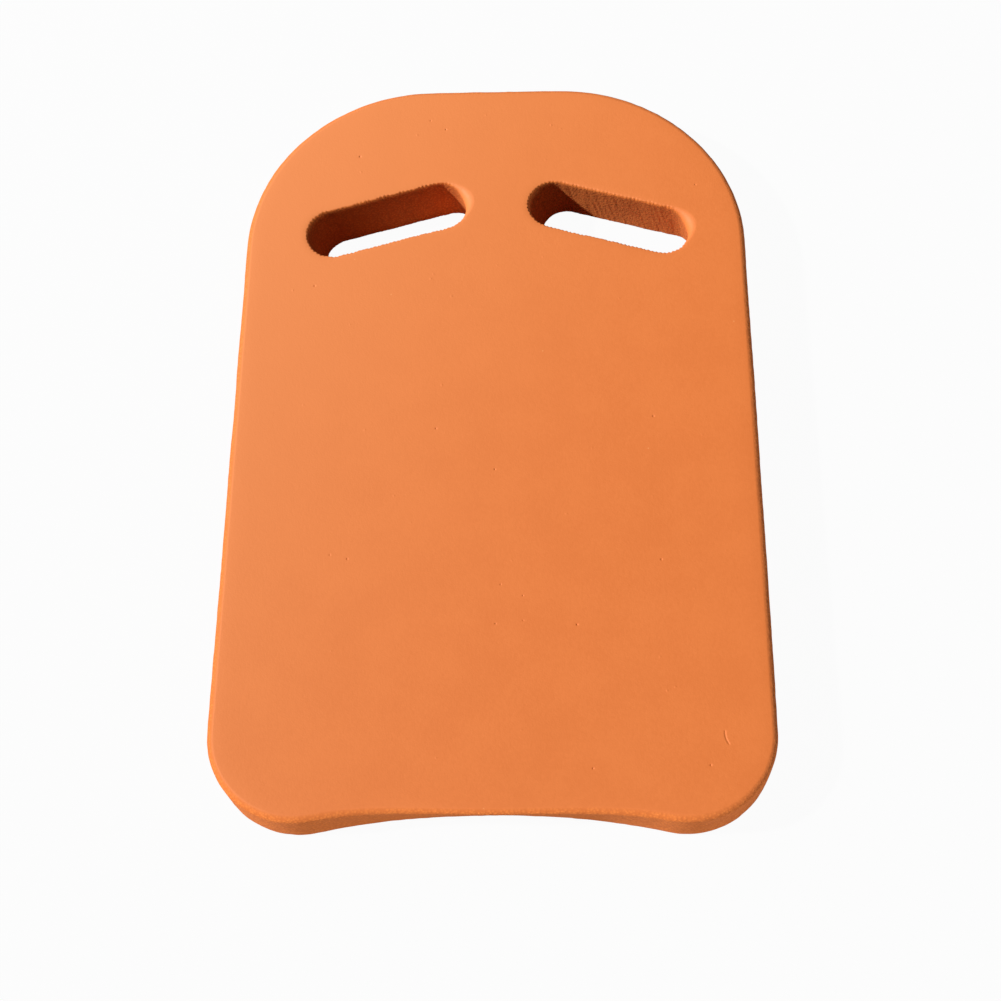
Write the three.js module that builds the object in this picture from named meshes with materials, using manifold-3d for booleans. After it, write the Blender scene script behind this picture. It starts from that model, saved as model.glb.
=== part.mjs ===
// Swimming kickboard: one slab of closed-cell foam. Its outline has a wide rounded nose,
// nearly straight sides and a hollowed tail, and two slanted grip slots go right through it.
//
// Millimetres, +Z up out of the top face, +Y towards the nose. The origin lies on the
// underside, at the middle of the board's length and width.

import * as THREE from 'three';
import { mergeVertices } from 'three/addons/utils/BufferGeometryUtils.js';
import Module from 'manifold-3d';

// The slab
const boardLength = 400;
const boardThickness = 30;
const tailWidth = 265;
const noseWidth = 260;
const noseCornerRadius = 96;
const tailCornerRadius = 42;
const edgeRounding = 3;

// The tail's hollow is a shallow arc. Its wall leans, so it is deeper below than on top.
const hollowDepthBelow = 9.5;
const hollowDepthOnTop = 3;

// The grip slots, a pair whose outer ends point towards the tail. On top the pair lies a
// little right of the middle line. Its walls lean, so below it is further right again.
const slotLength = 86;
const slotWidth = 27.5;
const slotSpacing = 116;
const slotFromNose = 81;
const slotSlant = THREE.MathUtils.degToRad(16);
const slotsOffMiddle = 1.5;
const slotLean = 7;
const slotRimRounding = 0.5;

// How finely curves are divided
const arcSteps = 12;
const roundingSteps = 4;

// Places worked out from the sizes above
const noseEdge = boardLength / 2;
const tailEdge = -boardLength / 2;
const noseCornerX = noseWidth / 2 - noseCornerRadius;
const noseCornerY = noseEdge - noseCornerRadius;
const tailCornerX = tailWidth / 2 - tailCornerRadius;
const tailCornerY = tailEdge + tailCornerRadius;
const slotY = noseEdge - slotFromNose;

// The direction of a side's outward normal, for a side that touches both corner arcs:
// the normal's reach over the two centres equals the difference of the two radii.
function sideNormalAngle() {
  const across = noseCornerX - tailCornerX;
  const along = noseCornerY - tailCornerY;
  const centreDistance = Math.hypot(across, along);
  const radiusDifference = tailCornerRadius - noseCornerRadius;
  return Math.atan2(along, across) - Math.acos(radiusDifference / centreDistance);
}

// The hollow's arc bulges into the board between the tail corners and touches both.
// Depth d over a half span a gives radius + corner radius = (a^2 + d^2) / 2d.
function hollowArc(depth) {
  const centreReach = (tailCornerX ** 2 + depth ** 2) / (2 * depth);
  const radius = centreReach - tailCornerRadius;
  return {
    radius,
    centreY: tailEdge + depth - radius,
    halfAngle: Math.asin(tailCornerX / centreReach),
  };
}

function boardOutline() {
  const sideAngle = sideNormalAngle();
  const hollow = hollowArc(hollowDepthBelow);
  const hollowStart = Math.PI / 2 + hollow.halfAngle;
  const hollowEnd = Math.PI / 2 - hollow.halfAngle;
  const outline = new THREE.Shape();
  outline.absarc(0, hollow.centreY, hollow.radius, hollowStart, hollowEnd, true);
  outline.absarc(tailCornerX, tailCornerY, tailCornerRadius, hollowEnd - Math.PI, sideAngle);
  outline.absarc(noseCornerX, noseCornerY, noseCornerRadius, sideAngle, Math.PI / 2);
  outline.absarc(-noseCornerX, noseCornerY, noseCornerRadius, Math.PI / 2, Math.PI - sideAngle);
  outline.absarc(-tailCornerX, tailCornerY, tailCornerRadius, Math.PI - sideAngle, hollowStart + Math.PI);
  return outline;
}

function slotOutline() {
  const endRadius = slotWidth / 2;
  const endX = slotLength / 2 - endRadius;
  const outline = new THREE.Shape();
  outline.absarc(endX, 0, endRadius, -Math.PI / 2, Math.PI / 2);
  outline.absarc(-endX, 0, endRadius, Math.PI / 2, 3 * Math.PI / 2);
  return outline;
}

// A slab with quarter-round edges at both faces. A positive rounding draws the faces in,
// for an outside edge, and a negative one flares them out, for the rim of a hole.
function roundedSlab(outline, rounding) {
  const inset = Math.abs(rounding);
  const geometry = new THREE.ExtrudeGeometry(outline, {
    depth: boardThickness - 2 * inset,
    curveSegments: arcSteps,
    bevelThickness: inset,
    bevelSize: rounding,
    bevelOffset: -rounding,
    bevelSegments: roundingSteps,
  });
  geometry.translate(0, 0, inset);
  return geometry;
}

// The top of the tail's hollow reaches out past its foot. The lean is full at the middle
// of the tail and fades out, as half a cosine wave, where the corners begin.
function leanTailWall(geometry) {
  const lean = hollowDepthBelow - hollowDepthOnTop;
  const position = geometry.attributes.position;
  for (let i = 0; i < position.count; i += 1) {
    const offCentre = Math.abs(position.getX(i)) / tailCornerX;
    if (offCentre < 1 && position.getY(i) < tailCornerY) {
      const share = (1 + Math.cos(Math.PI * offCentre)) / 2;
      const height = position.getZ(i) / boardThickness;
      position.setY(i, position.getY(i) - lean * share * height);
    }
  }
}

const wasm = await Module();
wasm.setup();

function toSolid(geometry) {
  const bare = geometry.clone();
  bare.deleteAttribute('normal');
  bare.deleteAttribute('uv');
  const merged = mergeVertices(bare);
  const mesh = new wasm.Mesh({
    numProp: 3,
    vertProperties: new Float32Array(merged.attributes.position.array),
    triVerts: new Uint32Array(merged.index.array),
  });
  return new wasm.Manifold(mesh);
}

function toGeometry(solid) {
  const mesh = solid.getMesh();
  const geometry = new THREE.BufferGeometry();
  geometry.setAttribute('position', new THREE.BufferAttribute(mesh.vertProperties, 3));
  geometry.setIndex(new THREE.BufferAttribute(mesh.triVerts, 1));
  geometry.computeVertexNormals();
  return geometry;
}

// A slot's cutter, on the right for side +1 and on the left for side -1. The shear moves
// its underside by the lean and leaves its top face where it is.
function slotCutter(side) {
  const geometry = roundedSlab(slotOutline(), -slotRimRounding);
  geometry.rotateZ(-side * slotSlant);
  geometry.applyMatrix4(new THREE.Matrix4().makeShear(0, 0, 0, 0, -slotLean / boardThickness, 0));
  geometry.translate(side * slotSpacing / 2 + slotsOffMiddle + slotLean, slotY, 0);
  return toSolid(geometry);
}

function foamBoard() {
  const slab = roundedSlab(boardOutline(), edgeRounding);
  leanTailWall(slab);
  const board = toSolid(slab).subtract(slotCutter(1)).subtract(slotCutter(-1));
  const foam = new THREE.MeshStandardMaterial({ color: 0xe8854a, roughness: 0.85, metalness: 0 });
  const mesh = new THREE.Mesh(toGeometry(board), foam);
  mesh.name = 'foam_board';
  return mesh;
}

const kickboard = new THREE.Group();
kickboard.add(foamBoard());

export default kickboard;
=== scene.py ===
import math
import bpy
import numpy as np
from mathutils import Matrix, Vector
from mathutils.geometry import delaunay_2d_cdt


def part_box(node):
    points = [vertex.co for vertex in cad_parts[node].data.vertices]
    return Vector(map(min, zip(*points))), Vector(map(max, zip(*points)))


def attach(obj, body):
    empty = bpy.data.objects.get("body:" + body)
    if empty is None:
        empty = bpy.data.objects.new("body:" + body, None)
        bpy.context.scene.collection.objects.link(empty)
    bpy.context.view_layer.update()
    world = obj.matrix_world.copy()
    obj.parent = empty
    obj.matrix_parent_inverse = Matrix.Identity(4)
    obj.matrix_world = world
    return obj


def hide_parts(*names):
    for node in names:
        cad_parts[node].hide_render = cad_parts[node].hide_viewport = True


# A kickboard: one slab of orange closed-cell foam with two slanted grip slots and a hollowed
# tail. Metres, +Z up out of the top face, +Y towards the nose, underside on the floor.

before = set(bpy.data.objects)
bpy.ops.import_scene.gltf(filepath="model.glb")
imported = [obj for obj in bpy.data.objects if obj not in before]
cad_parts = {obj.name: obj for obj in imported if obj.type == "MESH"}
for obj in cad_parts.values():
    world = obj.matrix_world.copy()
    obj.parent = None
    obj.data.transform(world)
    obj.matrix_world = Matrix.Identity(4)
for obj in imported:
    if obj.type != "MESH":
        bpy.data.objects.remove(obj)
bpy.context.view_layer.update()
boardLow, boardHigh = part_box("foam_board")

slab = {
    "noseWidth": 0.260,      # across the nose corners
    "noseRadius": 0.096,
    "tailRadius": 0.042,
    "hollowBelow": 0.0095,   # depth of the tail's hollow at the underside
    "hollowOnTop": 0.0030,   # and at the top face: the tail's wall leans
    "edgeRadius": 0.003,
    "band": 0.009,           # width of the strip beside the edge where the face rolls off
    "rollOff": 0.00035,      # how far the face has dropped when it reaches the edge
    "step": 0.0011,          # spacing of points round the outline
    "lattice": 0.0035,       # spacing of points on the faces
    "waves": [(0.055, 0.00012, 11), (0.017, 0.00004, 12)],   # cell size, height, seed
    "grain": [(0.0032, 0.0032, 0.00010, 21), (0.030, 0.015, 0.00018, 22)],   # along, up, depth, seed
}

slots = {
    "length": 0.086,
    "width": 0.0275,
    "spacing": 0.116,        # centre to centre
    "fromNose": 0.081,
    "slant": math.radians(16),
    "offMiddle": 0.0015,     # the pair's place on top, to the right of the middle line
    "lean": 0.007,           # and its underside lies this much further right
    "rimRadius": 0.0005,
    "softEnd": 0.0060,       # how much wider the rim is rounded at a slot's right end
    "softReach": 0.0035,     # and how far that pushes the rim out
    "softTowards": math.radians(18),
    "step": 0.0004,
    "band": 0.005,           # as for the slab, round each slot
    "rollOff": 0.0003,
    "toothLength": 0.0021,   # the die tears small teeth into the rims
    "toothDepth": 0.00080,
    "toothDrop": 0.0013,     # how far the teeth reach down the wall
    "toothSpread": 0.0007,   # and out over the face
    "toothsBelow": 0.25,     # their share at the underside
    "toothSeed": 37,
    "striations": [(0.0015, 0.011, 0.00011, 31), (0.009, 0.02, 0.00022, 34)],   # as for the grain
}

length = boardHigh[1] - boardLow[1]
width = boardHigh[0] - boardLow[0]
thickness = boardHigh[2] - boardLow[2]
noseEdge = length / 2
tailEdge = -length / 2
noseCentre = np.array([slab["noseWidth"] / 2 - slab["noseRadius"], noseEdge - slab["noseRadius"]])
tailCentre = np.array([width / 2 - slab["tailRadius"], tailEdge + slab["tailRadius"]])
slotY = noseEdge - slots["fromNose"]


# A side touches both corner arcs, so its normal turns until its reach over the two centres
# equals the difference of the radii.
between = noseCentre - tailCentre
sideAngle = math.atan2(between[1], between[0]) - math.acos(
    (slab["tailRadius"] - slab["noseRadius"]) / math.hypot(*between))
sideNormal = np.array([math.cos(sideAngle), math.sin(sideAngle)])
sideReach = float(sideNormal @ noseCentre) + slab["noseRadius"]

# The hollow's arc touches both tail corners: radius + corner radius = (a^2 + d^2) / 2d for a
# half span a and a depth d.
hollowReach = (tailCentre[0] ** 2 + slab["hollowBelow"] ** 2) / (2 * slab["hollowBelow"])
hollowRadius = hollowReach - slab["tailRadius"]
hollowY = tailEdge + slab["hollowBelow"] - hollowRadius
hollowHalf = math.asin(tailCentre[0] / hollowReach)


# Random numbers at whole steps of u and v, blended in between with 3f^2 - 2f^3. u starts again
# after `around` steps, so that a pattern closes on itself round a loop.
def smoothNoise(u, v, seed, around=64):
    table = np.random.default_rng(seed).uniform(-1, 1, (around, 64))
    i = np.floor(u).astype(int)
    j = np.floor(v).astype(int)
    f = u - i
    g = v - j
    f = f * f * (3 - 2 * f)
    g = g * g * (3 - 2 * g)
    low = table[i % around, j % 64] * (1 - f) + table[(i + 1) % around, j % 64] * f
    high = table[i % around, (j + 1) % 64] * (1 - f) + table[(i + 1) % around, (j + 1) % 64] * f
    return low * (1 - g) + high * g


# centre + radius (cos a, sin a), a in equal steps from start up to, but not at, end. The normal
# points away from the centre where a grows and towards it where a falls.
def arcPath(centre, radius, start, end, step):
    count = math.ceil(abs(end - start) * radius / step)
    a = start + (end - start) * np.arange(count) / count
    spokes = np.stack([np.cos(a), np.sin(a)], axis=1)
    return np.asarray(centre) + radius * spokes, spokes * math.copysign(1, end - start)


# p + f (q - p), f in equal steps from 0 up to, but not at, 1. The normal is on the right.
def linePath(p, q, step):
    p, q = np.asarray(p), np.asarray(q)
    size = math.dist(p, q)
    count = math.ceil(size / step)
    f = np.arange(count)[:, None] / count
    normal = np.array([q[1] - p[1], p[0] - q[0]]) / size
    return p + f * (q - p), np.repeat(normal[None], count, axis=0)


# Runs of points end to end, with their normals
def joinPaths(pieces):
    return np.concatenate([p for p, _ in pieces]), np.concatenate([n for _, n in pieces])


# The outline, anticlockwise from the left end of the tail's hollow, with outward normals
def outlinePath():
    step = slab["step"]
    noseR, tailR = slab["noseRadius"], slab["tailRadius"]
    mirror = np.array([-1, 1])
    leftSide = sideNormal * mirror
    turn = math.pi - sideAngle
    cornerStart = -math.pi / 2 - hollowHalf
    return joinPaths([
        arcPath((0, hollowY), hollowRadius, math.pi / 2 + hollowHalf, math.pi / 2 - hollowHalf, step),
        arcPath(tailCentre, tailR, cornerStart, sideAngle, step),
        linePath(tailCentre + tailR * sideNormal, noseCentre + noseR * sideNormal, step),
        arcPath(noseCentre, noseR, sideAngle, math.pi / 2, step),
        linePath((noseCentre[0], noseEdge), (-noseCentre[0], noseEdge), step),
        arcPath(noseCentre * mirror, noseR, math.pi / 2, turn, step),
        linePath(noseCentre * mirror + noseR * leftSide, tailCentre * mirror + tailR * leftSide, step),
        arcPath(tailCentre * mirror, tailR, turn, math.pi - cornerStart, step),
    ])


# A slot's rim, anticlockwise, with normals out into the foam. side is 1 on the right.
def slotPath(side):
    radius = slots["width"] / 2
    endX = slots["length"] / 2 - radius
    step = slots["step"]
    path, normals = joinPaths([
        arcPath((endX, 0), radius, -math.pi / 2, math.pi / 2, step),
        linePath((endX, radius), (-endX, radius), step),
        arcPath((-endX, 0), radius, math.pi / 2, 3 * math.pi / 2, step),
        linePath((-endX, -radius), (endX, -radius), step),
    ])
    a = -side * slots["slant"]
    turn = np.array([[math.cos(a), math.sin(a)], [-math.sin(a), math.cos(a)]])
    return path @ turn + (side * slots["spacing"] / 2 + slots["offMiddle"], slotY), normals @ turn


# How far a point is inside the outline: the least of its distances to the straight sides, the
# corner arcs and the hollow's arc
def outlineDistance(x, y):
    ax = np.abs(x)
    depth = np.minimum(sideReach - ax * sideNormal[0] - y * sideNormal[1], noseEdge - y)
    fromNose = np.hypot(ax - noseCentre[0], y - noseCentre[1])
    nearNose = (ax > noseCentre[0]) & (y > noseCentre[1])
    depth = np.where(nearNose, slab["noseRadius"] - fromNose, depth)
    fromTail = np.hypot(ax - tailCentre[0], y - tailCentre[1])
    nearTail = (ax > tailCentre[0]) & (y < tailCentre[1])
    depth = np.where(nearTail, slab["tailRadius"] - fromTail, depth)
    fromHollow = np.hypot(x, y - hollowY) - hollowRadius
    return np.where(ax < tailCentre[0], np.minimum(depth, fromHollow), depth)


# How far a point is outside the nearer slot of the pair, which may be moved sideways: its
# distance to the slot's middle line less the radius
def slotDistance(x, y, sideways=0):
    a = slots["slant"]
    across = np.abs(x - slots["offMiddle"] - sideways) - slots["spacing"] / 2
    along = y - slotY
    u = across * math.cos(a) - along * math.sin(a)
    v = across * math.sin(a) + along * math.cos(a)
    past = np.maximum(np.abs(u) - (slots["length"] - slots["width"]) / 2, 0)
    return np.hypot(past, v) - slots["width"] / 2


# Marks on the top face: pits and beads of burst or trapped cells, and one curved nick
marks = {
    "pits": 18,
    "beads": 35,
    "pitDepth": 0.00045,
    "beadHeight": 0.00016,
    "radius": 0.00045,
    "seed": 5,
    "rings": [0.35, 0.7, 1.05, 1.5, 2.1, 3.0],   # rings of points round a mark, in its radii
    "spokes": 12,
    "clear": 4.2,            # radii round a mark that the lattice leaves free
    "nick": {"centre": (0.1172, -0.1590), "radius": 0.0095, "start": math.radians(176),
             "end": math.radians(214), "depth": 0.00026, "breadth": 0.00036},
}


# Places, heights and radii of the marks: even random draws over the face that are clear of its
# edges and slots. Height and radius grow with a random size.
def scatterMarks():
    rng = np.random.default_rng(marks["seed"])
    places = rng.uniform((-width / 2, tailEdge), (width / 2, noseEdge), (160, 2))
    clear = (outlineDistance(*places.T) > 0.015) & (slotDistance(*places.T) > 0.012)
    places = places[clear][:marks["pits"] + marks["beads"]]
    sizes = rng.uniform(0.45, 1.0, len(places))
    heights = np.where(np.arange(len(places)) < marks["pits"], -marks["pitDepth"], marks["beadHeight"])
    return places, heights * sizes, marks["radius"] * (0.6 + 0.4 * sizes)


markPlaces, markHeights, markRadii = scatterMarks()


# Distance from the nick's arc: across it beside the arc, and to the nearer end past its ends
def nickDistance(x, y):
    nick = marks["nick"]
    dx = x - nick["centre"][0]
    dy = y - nick["centre"][1]
    a = np.clip(np.arctan2(dy, dx) % (2 * math.pi), nick["start"], nick["end"])
    return np.hypot(dx - nick["radius"] * np.cos(a), dy - nick["radius"] * np.sin(a))


# Height of the top face above flat: broad waves, plus height exp(-(distance / radius)^2) for
# each mark, less the same form along the nick
def topRelief(x, y):
    height = sum(h * smoothNoise(x / cell + 30, y / cell + 30, seed) for cell, h, seed in slab["waves"])
    for place, h, r in zip(markPlaces, markHeights, markRadii):
        height = height + h * np.exp(-((x - place[0]) ** 2 + (y - place[1]) ** 2) / r ** 2)
    nick = marks["nick"]
    return height - nick["depth"] * np.exp(-(nickDistance(x, y) / nick["breadth"]) ** 2)


# Height of the underside above the floor: the same kind of waves, lifted so that none is below 0
def baseRelief(x, y):
    height = 0
    for cell, h, seed in slab["waves"]:
        height = height + h * (1 + smoothNoise(x / cell + 30, y / cell + 30, seed + 40))
    return height / 2


# The section of an edge from the top face over the rounding, down the wall and under: how far
# each row is inside the wall, and its height. The rounding is r (1 - sin a), r (1 - cos a), with
# one radius on top and one below for each column.
def edgeSection(topRadius, baseRadius, width, bandRows, roundRows, wallRows):
    f = (np.arange(bandRows) / bandRows)[:, None]
    a = (np.arange(roundRows) / roundRows * math.pi / 2)[:, None]
    down = np.linspace(0, 1, wallRows)[:, None]
    halves = []
    for radius in (topRadius, baseRadius):
        wall = radius + (thickness / 2 - radius) * down
        band = radius + width * (1 - f) ** 1.5
        inside = np.concatenate([band, radius * (1 - np.sin(a)), np.zeros_like(wall)])
        drop = np.concatenate([np.zeros_like(band), radius * (1 - np.cos(a)), wall])
        halves.append((inside, drop))
    (topInside, topDrop), (baseInside, baseDrop) = halves
    inside = np.concatenate([topInside, baseInside[-2::-1]])
    height = np.concatenate([thickness - topDrop, baseDrop[-2::-1]])
    return inside, height


# Each row's drop towards the edge is rollOff (1 - distance / band)^3, and it and the relief of
# a face fade linearly down the wall.
def settle(x, y, height, rollOff, share):
    level = height / thickness
    roll = rollOff * np.clip(1 - share, 0, 1) ** 3
    return height + level * (topRelief(x, y) - roll) + (1 - level) * (baseRelief(x, y) + roll)


# Share of the lean at x: full at the middle of the tail, and fading as half a cosine wave where
# the corners begin
def leanShare(x, y):
    offCentre = np.minimum(np.abs(x) / tailCentre[0], 1)
    return np.where(y < tailCentre[1], (1 + np.cos(math.pi * offCentre)) / 2, 0)


# Distance along a closed path at each of its points, and its whole length
def alongPath(path):
    steps = np.linalg.norm(np.roll(path, -1, axis=0) - path, axis=1)
    return np.concatenate([[0], np.cumsum(steps)[:-1]]), steps.sum()


# The outer edge: path - inside x normal, with the sawn grain cut into the wall
def outerEdge():
    path, normals = outlinePath()
    along, around = alongPath(path)
    radius = np.full(len(path), slab["edgeRadius"])
    inside, height = edgeSection(radius, radius, slab["band"], 6, 6, 8)
    sawn = np.clip(1 - inside / slab["edgeRadius"], 0, 1) ** 0.5
    grain = 0
    for cell, rise, depth, seed in slab["grain"]:
        count = round(around / cell)
        grain = grain + smoothNoise(along / around * count, height / rise, seed, count) * depth
    offset = -inside - grain * sawn
    x = path[:, 0] + offset * normals[:, 0]
    y = path[:, 1] + offset * normals[:, 1]
    lean = (slab["hollowBelow"] - slab["hollowOnTop"]) * height / thickness
    y = y - lean * leanShare(x, y)
    z = settle(x, y, height, slab["rollOff"], inside / (slab["band"] + slab["edgeRadius"]))
    return np.stack([x, y, z], axis=2), sawn + 0 * x


# A slot's edge: path + inside x normal, with striations down the wall and |sin| teeth along the
# rims. The rim is softer, and without teeth, at the right end: by a share dot(normal, towards)^4.
def slotEdge(side):
    path, normals = slotPath(side)
    along, around = alongPath(path)
    radius = slots["rimRadius"]
    towards = np.array([math.cos(slots["softTowards"]), math.sin(slots["softTowards"])])
    share = np.clip(normals @ towards, 0, 1) ** 4
    soft = slots["softEnd"] * share
    pulled = (slots["softEnd"] - slots["softReach"]) * share
    inside, height = edgeSection(radius + soft, np.full_like(soft, radius), slots["band"], 6, 6, 10)
    sawn = np.clip(1 - inside / radius, 0, 1) ** 0.5
    striation = 0
    for cell, rise, depth, seed in slots["striations"]:
        count = round(around / cell)
        noise = smoothNoise(along / around * count, height / rise, seed + side, count)
        striation = striation + noise * depth
    teeth = round(around / slots["toothLength"])
    saw = np.abs(np.sin(math.pi * teeth * along / around))
    ragged = 0.5 + 0.5 * smoothNoise(along / around * teeth, along * 0, slots["toothSeed"] + side, teeth)
    fromFace = np.minimum(thickness - height, height)
    beside = np.maximum(inside - radius - soft, 0)
    nearRim = np.exp(-(fromFace / slots["toothDrop"]) ** 2 - (beside / slots["toothSpread"]) ** 2)
    below = slots["toothsBelow"]
    worn = np.clip(1 - 2.5 * share, 0, 1) * (below + (1 - below) * height / thickness)
    tooth = slots["toothDepth"] * saw * ragged * nearRim * worn
    offset = inside - pulled + tooth + striation * sawn ** 2
    x = path[:, 0] + offset * normals[:, 0] + slots["lean"] * (1 - height / thickness)
    y = path[:, 1] + offset * normals[:, 1]
    z = settle(x, y, height, slots["rollOff"], inside / (slots["band"] + radius + soft))
    return np.stack([x, y, z], axis=2), sawn + 0 * x


# Quads between the rows of a closed sweep: row k column j, and their neighbours
def sweepQuads(rows, columns, first, flip):
    k, j = np.meshgrid(np.arange(rows - 1), np.arange(columns), indexing="ij")
    right = (j + 1) % columns
    quads = np.stack([k * columns + j, k * columns + right,
                      (k + 1) * columns + right, (k + 1) * columns + j], axis=-1).reshape(-1, 4)
    return first + (quads[:, ::-1] if flip else quads)


# Points inside a face: a staggered lattice x = i s, y = j s sin 60, kept where it is clear of the
# edge bands, and closer rings round each mark and the nick on the top face
def facePoints(detailed):
    s = slab["lattice"]
    i, j = np.meshgrid(np.arange(-40, 41), np.arange(-70, 71), indexing="ij")
    x = (i + 0.5 * (j % 2)).ravel() * s
    y = j.ravel() * s * math.sin(math.pi / 3)
    clear = np.ones(len(x), bool)
    extra = []
    if detailed:
        for place, r in zip(markPlaces, markRadii):
            clear &= np.hypot(x - place[0], y - place[1]) > marks["clear"] * r
            ring, spoke = np.meshgrid(marks["rings"], np.arange(marks["spokes"]), indexing="ij")
            a = (spoke + 0.5 * (ring > 1)) * 2 * math.pi / marks["spokes"]
            extra.append(np.stack([place[0] + ring * r * np.cos(a), place[1] + ring * r * np.sin(a)], -1))
        nick = marks["nick"]
        clear &= nickDistance(x, y) > 0.0034
        u, v = np.meshgrid(np.arange(-10, 11) * 0.00024,
                           np.linspace(nick["start"] - 0.2, nick["end"] + 0.2, 44), indexing="ij")
        reach = nick["radius"] + u
        extra.append(np.stack([nick["centre"][0] + reach * np.cos(v),
                               nick["centre"][1] + reach * np.sin(v)], -1))
    away = slab["band"] + slab["edgeRadius"] + 0.6 * s
    awayFromSlots = slots["band"] + slots["rimRadius"] + slots["softReach"] + 0.6 * s
    lowered = y + (slab["hollowBelow"] - slab["hollowOnTop"]) * leanShare(x, y) * (1 if detailed else 0)
    sideways = 0 if detailed else slots["lean"]
    clear &= (outlineDistance(x, lowered) > away) & (slotDistance(x, y, sideways) > awayFromSlots)
    lattice = np.stack([x, y], axis=1)[clear]
    return np.concatenate([lattice] + [e.reshape(-1, 2) for e in extra])


# Triangles over a face: the rings are kept as edges, and those that only join points of one
# slot's ring lie over the slot and go
def faceTriangles(rings, inner):
    points = np.concatenate(rings + [inner])
    counts = [len(ring) for ring in rings]
    starts = np.cumsum([0] + counts)
    edges = np.concatenate([
        np.stack([first + np.arange(n), first + (np.arange(n) + 1) % n], axis=1)
        for first, n in zip(starts, counts)])
    result = delaunay_2d_cdt(points.tolist(), edges.tolist(), [], 1, 1e-9)
    triangles = np.array(result[2])
    keep = np.ones(len(triangles), bool)
    for first, n in zip(starts[1:], counts[1:]):
        keep &= ~((triangles >= first) & (triangles < first + n)).all(axis=1)
    if len(result[0]) != len(points):
        raise ValueError("two points of a face coincide")
    return triangles[keep]


# One mesh object from points and the faces that index them, with smooth shading
def meshPiece(name, points, quads, triangles):
    mesh = bpy.data.meshes.new(name)
    mesh.vertices.add(len(points))
    mesh.vertices.foreach_set("co", points.astype(np.float32).ravel())
    corners = np.concatenate([quads.ravel(), triangles.ravel()])
    starts = np.concatenate([np.arange(len(quads)) * 4, quads.size + np.arange(len(triangles)) * 3])
    mesh.loops.add(len(corners))
    mesh.loops.foreach_set("vertex_index", corners.astype(np.int32))
    mesh.polygons.add(len(starts))
    mesh.polygons.foreach_set("loop_start", starts.astype(np.int32))
    mesh.update(calc_edges=True)
    mesh.validate()
    mesh.shade_smooth()
    piece = bpy.data.objects.new(name, mesh)
    bpy.context.scene.collection.objects.link(piece)
    return piece


# The three swept edges, closed above and below by triangles between their rings
def makeBoard():
    edges = [outerEdge(), slotEdge(1), slotEdge(-1)]
    points, sawn, quads, topRings, baseRings = [], [], [], [], []
    first = 0
    for number, (grid, cut) in enumerate(edges):
        rows, columns = grid.shape[:2]
        points.append(grid.reshape(-1, 3))
        sawn.append(cut.ravel())
        quads.append(sweepQuads(rows, columns, first, flip=number == 0))
        topRings.append(first + np.arange(columns))
        baseRings.append(first + (rows - 1) * columns + np.arange(columns))
        first += rows * columns
    edgePoints = np.concatenate(points)
    triangles = []
    for rings, detailed in ((topRings, True), (baseRings, False)):
        inner = facePoints(detailed)
        local = faceTriangles([edgePoints[ring, :2] for ring in rings], inner)
        index = np.concatenate(rings + [first + np.arange(len(inner))])
        triangles.append(index[local] if detailed else index[local][:, ::-1])
        height = np.full(len(inner), thickness if detailed else 0.0)
        z = settle(inner[:, 0], inner[:, 1], height, 0, 1)
        points.append(np.column_stack([inner, z]))
        sawn.append(np.zeros(len(inner)))
        first += len(inner)
    piece = meshPiece("kickboard_foam", np.concatenate(points), np.concatenate(quads),
                      np.concatenate(triangles))
    cut = piece.data.attributes.new("sawn", "FLOAT", "POINT")
    cut.data.foreach_set("value", np.concatenate(sawn).astype(np.float32))
    print("board:", len(piece.data.vertices), "points,", len(piece.data.polygons), "faces")
    return piece


foam = {
    "skin": (0.735, 0.190, 0.0385),
    "skinShade": (0.705, 0.177, 0.034),
    "paintedSheen": (0.745, 0.224, 0.060),     # painted sheen and light: the skin is painted paler and brighter towards the nose's left corner
    "paintedSheenFrom": -0.12,
    "paintedSheenTo": 0.26,
    "paintedSheenAlong": (-1.0, 0.6, 0.0),
    "mottleScale": 42.0,
    "grainScale": 620.0,
    "cellScale": 1150.0,
    "openCellScale": 780.0,
    "speckScale": 62.0,
    "speckStrength": 0.5,
    "bumpStrength": 0.35,
    "bumpHeight": 0.0003,
    "cut": (0.760, 0.205, 0.034),
    "cutShade": (0.610, 0.145, 0.021),
    "speck": (0.86, 0.36, 0.12),
    "roughness": 0.62,
    "cutRoughness": 0.95,
}


# A node with its settings, and each input linked where its value is a socket and set otherwise
def addNode(tree, kind, settings=None, inputs=None):
    made = tree.nodes.new(kind)
    for name, value in (settings or {}).items():
        setattr(made, name, value)
    for name, value in (inputs or {}).items():
        if isinstance(value, bpy.types.NodeSocket):
            tree.links.new(value, made.inputs[name])
        else:
            made.inputs[name].default_value = value
    return made


# first (1 - factor) + second factor
def mixColours(tree, factor, first, second):
    mix = addNode(tree, "ShaderNodeMix", {"data_type": "RGBA"})
    for socket, value in ((mix.inputs[0], factor), (mix.inputs[6], first), (mix.inputs[7], second)):
        if isinstance(value, bpy.types.NodeSocket):
            tree.links.new(value, socket)
        else:
            socket.default_value = value if isinstance(value, float) else (*value, 1)
    return mix.outputs[2]


# 3f^2 - 2f^3 for f = (value - low) / (high - low), held between 0 and 1
def ramp(tree, value, low, high):
    return addNode(tree, "ShaderNodeMapRange", {"interpolation_type": "SMOOTHSTEP"},
                   {"Value": value, "From Min": low, "From Max": high}).outputs["Result"]


# first and second joined by one operation, such as their sum
def calculate(tree, operation, first, second):
    made = addNode(tree, "ShaderNodeMath", {"operation": operation})
    for socket, value in zip(made.inputs, (first, second)):
        if isinstance(value, bpy.types.NodeSocket):
            tree.links.new(value, socket)
        else:
            socket.default_value = value
    return made.outputs[0]
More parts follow.
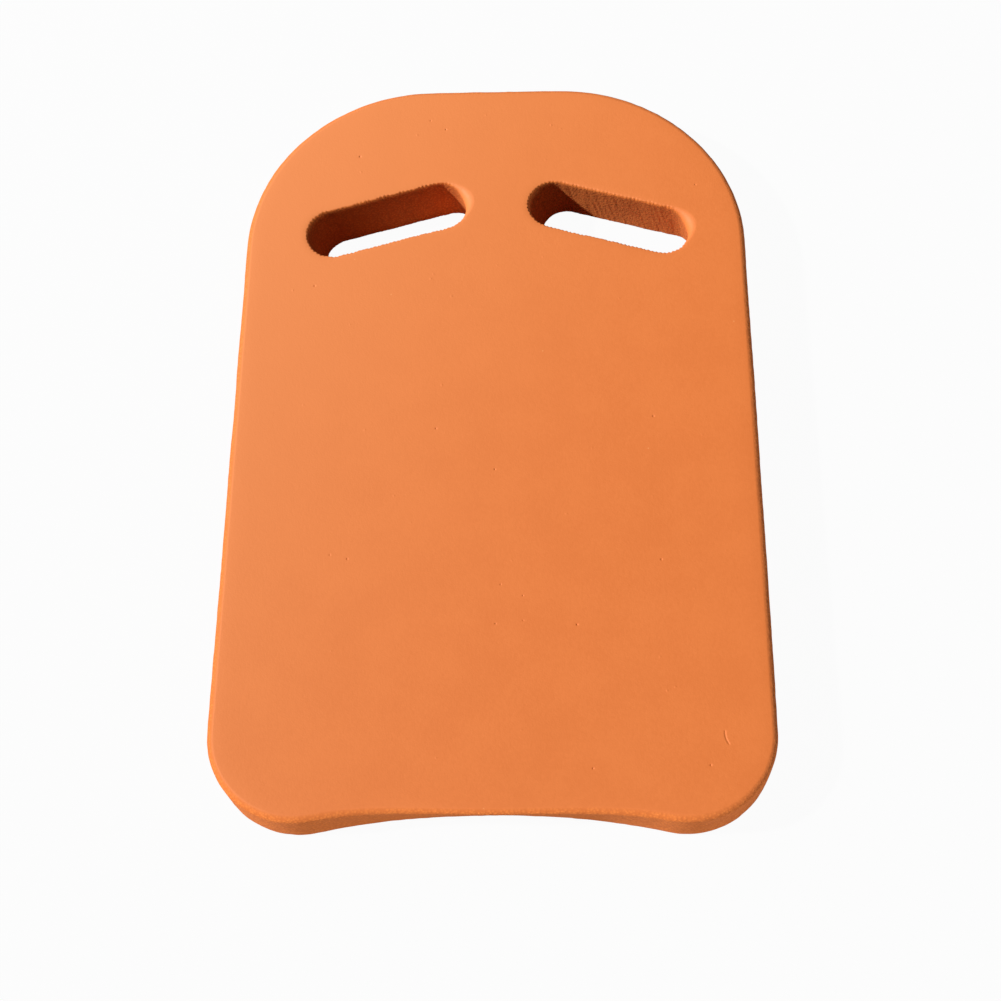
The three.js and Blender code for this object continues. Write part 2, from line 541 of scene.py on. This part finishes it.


# Foam: skin (1 - sawn) + torn sawn. The skin mixes two shades by 0.6 mottle + 0.4 grain, is painted paler
# along -x + 0.6 y as a painted sheen and light from the nose's left corner, and has sparse specks. The
# torn foam mixes two shades by distance in its cells.
def orangeFoam():
    material = bpy.data.materials.new("orangeFoam")
    material.use_nodes = True
    tree = material.node_tree
    tree.nodes.clear()
    place = addNode(tree, "ShaderNodeTexCoord").outputs["Object"]
    sawn = addNode(tree, "ShaderNodeAttribute", {"attribute_name": "sawn"}).outputs["Fac"]

    mottle = addNode(tree, "ShaderNodeTexNoise", None,
                     {"Vector": place, "Scale": foam["mottleScale"],
                      "Detail": 4.0, "Roughness": 0.62}).outputs["Fac"]
    grain = addNode(tree, "ShaderNodeTexNoise", None,
                    {"Vector": place, "Scale": foam["grainScale"],
                     "Detail": 2.0, "Roughness": 0.6}).outputs["Fac"]
    cells = addNode(tree, "ShaderNodeTexVoronoi", None,
                    {"Vector": place, "Scale": foam["cellScale"], "Randomness": 1.0}).outputs["Distance"]
    openCells = addNode(tree, "ShaderNodeTexVoronoi", None,
                        {"Vector": place, "Scale": foam["openCellScale"],
                         "Randomness": 1.0}).outputs["Distance"]

    shade = calculate(tree, "ADD", calculate(tree, "MULTIPLY", mottle, 0.6),
                      calculate(tree, "MULTIPLY", grain, 0.4))
    skin = mixColours(tree, ramp(tree, shade, 0.36, 0.64), foam["skinShade"], foam["skin"])
    torn = mixColours(tree, ramp(tree, openCells, 0.15, 0.65), foam["cut"], foam["cutShade"])

    # Painted sheen: the skin is painted paler and brighter towards the nose's left corner, standing in
    # for sheen and light from that side
    towardsPaintedSheen = addNode(tree, "ShaderNodeVectorMath", {"operation": "DOT_PRODUCT"})
    tree.links.new(place, towardsPaintedSheen.inputs[0])
    towardsPaintedSheen.inputs[1].default_value = foam["paintedSheenAlong"]
    paintedSheenShare = ramp(tree, towardsPaintedSheen.outputs["Value"], foam["paintedSheenFrom"], foam["paintedSheenTo"])
    skin = mixColours(tree, paintedSheenShare, skin, foam["paintedSheen"])

    spots = addNode(tree, "ShaderNodeTexVoronoi", None,
                    {"Vector": place, "Scale": foam["speckScale"], "Randomness": 1.0})
    near = ramp(tree, spots.outputs["Distance"], 0.034, 0.018)
    split = addNode(tree, "ShaderNodeSeparateColor", None, {"Color": spots.outputs["Color"]})
    chosen = calculate(tree, "GREATER_THAN", split.outputs[0], 0.45)
    speck = calculate(tree, "MULTIPLY", calculate(tree, "MULTIPLY", near, chosen),
                      foam["speckStrength"])
    skin = mixColours(tree, speck, skin, foam["speck"])
    colour = mixColours(tree, sawn, skin, torn)

    skinHeight = calculate(tree, "ADD", calculate(tree, "MULTIPLY", grain, 0.5),
                           calculate(tree, "MULTIPLY", cells, 0.25))
    cutHeight = calculate(tree, "MULTIPLY", openCells, -1.6)
    height = addNode(tree, "ShaderNodeMix", {"data_type": "FLOAT"})
    tree.links.new(sawn, height.inputs[0])
    tree.links.new(skinHeight, height.inputs[2])
    tree.links.new(cutHeight, height.inputs[3])
    bump = addNode(tree, "ShaderNodeBump", None,
                   {"Strength": foam["bumpStrength"], "Distance": foam["bumpHeight"],
                    "Height": height.outputs[0]})

    smooth = addNode(tree, "ShaderNodeMapRange", None,
                     {"Value": grain, "To Min": foam["roughness"] - 0.06,
                      "To Max": foam["roughness"] + 0.08}).outputs["Result"]
    rough = addNode(tree, "ShaderNodeMix", {"data_type": "FLOAT"})
    tree.links.new(sawn, rough.inputs[0])
    tree.links.new(smooth, rough.inputs[2])
    rough.inputs[3].default_value = foam["cutRoughness"]
    shader = addNode(tree, "ShaderNodeBsdfPrincipled", None,
                     {"Base Color": colour, "Roughness": rough.outputs[0],
                      "Normal": bump.outputs["Normal"]})
    shader.inputs["IOR"].default_value = 1.45
    addNode(tree, "ShaderNodeOutputMaterial", None, {"Surface": shader.outputs["BSDF"]})
    return material


board = makeBoard()
board.data.materials.append(orangeFoam())
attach(board, "root")
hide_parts("foam_board")

# The set: a pale floor, pale surroundings, a key light on the left and three soft lights: one at
# the nose's left, one low beyond the tail and one low on the right
studio = {
    "floorSize": 12.0,
    "floorGap": 0.0003,
    "floorTone": 0.32,       # how much of the light on it the floor throws back
    "floorGlow": 0.96,       # share of plain white that the floor shows to the camera
    "keyFrom": (-0.765, -0.04, 0.643),
    "keyStrength": 4.55,
    "keySoftness": math.radians(2.5),
    "surround": 0.06,
    "softLights": [          # place, size and power
        ((-0.65, 0.75, 0.55), 0.5, 4.0),
        ((0.15, -1.40, 0.08), 0.14, 7.0),
        ((1.30, -0.10, 0.06), 0.10, 4.0),
    ],
}


# A square about the origin, a hair below the board. It scatters tone x the light on it, and
# shows the camera mostly plain white.
def makeFloor():
    half = studio["floorSize"] / 2
    z = -studio["floorGap"]
    mesh = bpy.data.meshes.new("floor")
    mesh.from_pydata([(-half, -half, z), (half, -half, z), (half, half, z), (-half, half, z)], [],
                     [(0, 1, 2, 3)])
    floor = bpy.data.objects.new("floor", mesh)
    bpy.context.scene.collection.objects.link(floor)
    material = bpy.data.materials.new("paleFloor")
    material.use_nodes = True
    tree = material.node_tree
    tree.nodes.clear()
    tone = studio["floorTone"]
    plain = addNode(tree, "ShaderNodeBsdfDiffuse", None, {"Color": (tone, tone, tone, 1)})
    white = addNode(tree, "ShaderNodeEmission", None, {"Color": (1, 1, 1, 1), "Strength": 1.0})
    seen = addNode(tree, "ShaderNodeLightPath").outputs["Is Camera Ray"]
    share = calculate(tree, "MULTIPLY", seen, studio["floorGlow"])
    mix = addNode(tree, "ShaderNodeMixShader")
    tree.links.new(share, mix.inputs[0])
    tree.links.new(plain.outputs[0], mix.inputs[1])
    tree.links.new(white.outputs[0], mix.inputs[2])
    addNode(tree, "ShaderNodeOutputMaterial", None, {"Surface": mix.outputs[0]})
    mesh.materials.append(material)
    return floor


# White to the camera, and surround x white to everything else
def makeSurroundings():
    world = bpy.data.worlds.new("surroundings")
    world.use_nodes = True
    tree = world.node_tree
    tree.nodes.clear()
    soft = addNode(tree, "ShaderNodeBackground", None,
                   {"Color": (1, 1, 1, 1), "Strength": studio["surround"]})
    white = addNode(tree, "ShaderNodeBackground", None, {"Color": (1, 1, 1, 1), "Strength": 1.0})
    seen = addNode(tree, "ShaderNodeLightPath").outputs["Is Camera Ray"]
    mix = addNode(tree, "ShaderNodeMixShader")
    tree.links.new(seen, mix.inputs[0])
    tree.links.new(soft.outputs[0], mix.inputs[1])
    tree.links.new(white.outputs[0], mix.inputs[2])
    addNode(tree, "ShaderNodeOutputWorld", None, {"Surface": mix.outputs[0]})
    bpy.context.scene.world = world


# A far light whose rays run from keyFrom to the origin
def makeKeyLight():
    light = bpy.data.lights.new("key", "SUN")
    light.energy = studio["keyStrength"]
    light.angle = studio["keySoftness"]
    key = bpy.data.objects.new("key", light)
    towards = Vector(studio["keyFrom"])
    key.location = towards
    key.rotation_mode = "QUATERNION"
    key.rotation_quaternion = towards.to_track_quat("Z", "Y")
    bpy.context.scene.collection.objects.link(key)


# Square lights that face the board's middle
def makeSoftLights():
    for place, size, power in studio["softLights"]:
        light = bpy.data.lights.new("soft", "AREA")
        light.size = size
        light.energy = power
        soft = bpy.data.objects.new("soft", light)
        soft.location = place
        soft.rotation_mode = "QUATERNION"
        soft.rotation_quaternion = Vector(place).to_track_quat("Z", "Y")
        bpy.context.scene.collection.objects.link(soft)


makeFloor()
makeSurroundings()
makeKeyLight()
makeSoftLights()

# The camera looks down on the board from beyond its tail, a little to the right
camera = {
    "place": (0.0320, -0.3785, 0.8192),
    "tip": math.radians(23.07),      # up from straight down, towards the nose
    "roll": math.radians(2.09),
    "turn": math.radians(-0.52),
    "lens": 63.27,
}


# It looks straight down, tipped, rolled and turned about its own place in that order
def makeCamera():
    lens = bpy.data.cameras.new("camera")
    lens.lens = camera["lens"]
    lens.sensor_width = 36
    made = bpy.data.objects.new("camera", lens)
    made.location = camera["place"]
    made.rotation_mode = "YXZ"
    made.rotation_euler = (camera["tip"], camera["roll"], camera["turn"])
    bpy.context.scene.collection.objects.link(made)
    bpy.context.scene.camera = made


makeCamera()
bpy.context.scene.view_settings.view_transform = "Standard"
print("studio: floor, surroundings, lights and camera")
